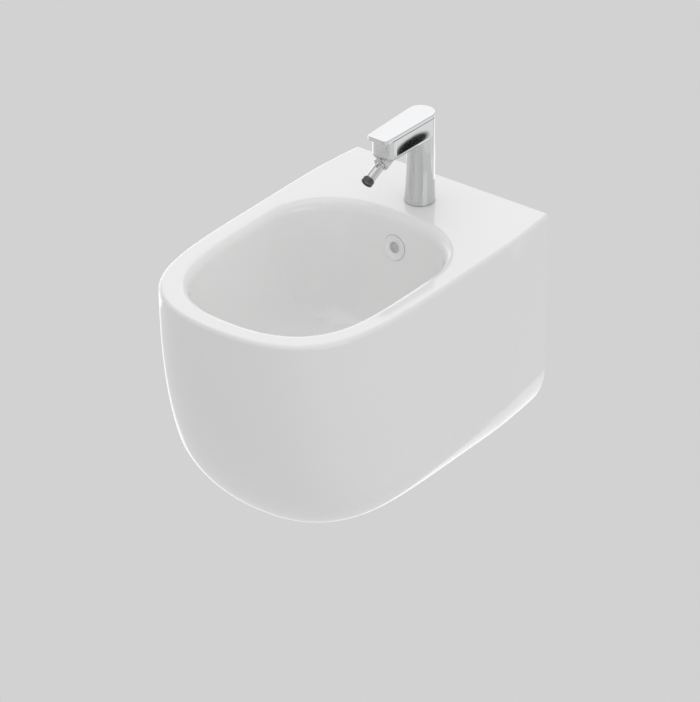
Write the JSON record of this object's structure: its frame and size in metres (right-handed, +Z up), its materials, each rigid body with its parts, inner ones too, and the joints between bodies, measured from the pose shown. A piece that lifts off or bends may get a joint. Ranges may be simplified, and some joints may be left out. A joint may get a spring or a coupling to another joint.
{
  "type": "wall-hung bidet",
  "caption": "Wall-hung bidet: hollow glazed body with an oval basin, overflow, push-button waste and bottle trap, and a single-lever mixer with a swivel nozzle.",
  "frame": {"origin": "on the wall face, midway between the two wall bolts", "axes": "-Y away from the wall to the front, +Z up, X across"},
  "size_m": [0.3614, 0.5458, 0.4899],
  "materials": {
    "white_glaze": "gloss",
    "chrome": "polished",
    "dark_chrome": "polished",
    "rubber_seal": "matt",
    "white_plastic": "satin",
    "grey_plastic": "satin",
    "ceramic_disc": "lapped",
    "raw_brass": "turned",
    "plain_steel": "plain"
  },
  "bodies": {
    "bidet": {"ceramic_body": "white_glaze", "wall_bolt_sleeves": "white_plastic", "wall_bolt_washers": "plain_steel", "wall_bolt_nuts": "plain_steel", "overflow_ring": "chrome", "overflow_seal": "rubber_seal", "waste_body": "chrome", "waste_flange_seal": "rubber_seal", "waste_back_washer": "rubber_seal", "waste_locknut": "raw_brass", "plug_guide": "white_plastic", "plug_spring": "plain_steel", "trap_body": "white_plastic", "trap_inlet_seal": "rubber_seal", "trap_inlet_nut": "white_plastic", "trap_cup": "white_plastic", "trap_cup_seal": "rubber_seal", "trap_outlet_seal": "rubber_seal", "trap_outlet_nut": "white_plastic", "trap_outlet_tube": "white_plastic", "mixer_body": "chrome", "cartridge_housing": "grey_plastic", "cartridge_fixed_disc": "ceramic_disc", "cartridge_nut": "raw_brass", "ball_retainer": "chrome", "mixer_base_seal": "rubber_seal", "mixer_stud": "raw_brass", "mixer_gasket": "rubber_seal", "mixer_clamp_plate": "plain_steel", "mixer_stud_nut": "raw_brass"},
    "turntable": {"cartridge_moving_disc": "ceramic_disc", "lever_turntable": "chrome", "lever_pin": "plain_steel"},
    "lever": {"lever": "chrome"},
    "nozzle_seat": {"ball_seat": "grey_plastic"},
    "nozzle": {"nozzle": "chrome", "aerator_ring": "dark_chrome", "aerator_insert": "grey_plastic", "aerator_seal": "rubber_seal"},
    "plug": {"waste_plug": "chrome", "waste_plug_seal": "rubber_seal"}
  },
  "joints": [
    {"name": "lever_turn", "type": "hinge", "parent": "bidet", "child": "turntable", "pos_m": [0, -0.0733, 0.2109], "axis": [0, 0, 1], "range_deg": [-45, 45]},
    {"name": "lever_lift", "type": "hinge", "parent": "turntable", "child": "lever", "pos_m": [0, -0.0633, 0.2109], "axis": [-1, 0, 0], "range_deg": [0, 16]},
    {"name": "nozzle_spin", "type": "hinge", "parent": "bidet", "child": "nozzle_seat", "pos_m": [0, -0.1653, 0.177], "axis": [0, -0.9063, -0.4226], "continuous": true},
    {"name": "nozzle_tilt", "type": "hinge", "parent": "nozzle_seat", "child": "nozzle", "pos_m": [0, -0.1653, 0.177], "axis": [1, 0, 0], "range_deg": [-15, 15]},
    {"name": "plug_travel", "type": "slide", "parent": "bidet", "child": "plug", "axis": [0, 0, 1], "range_m": [0, 0.008], "deforming": ["plug_spring"]}
  ]
}
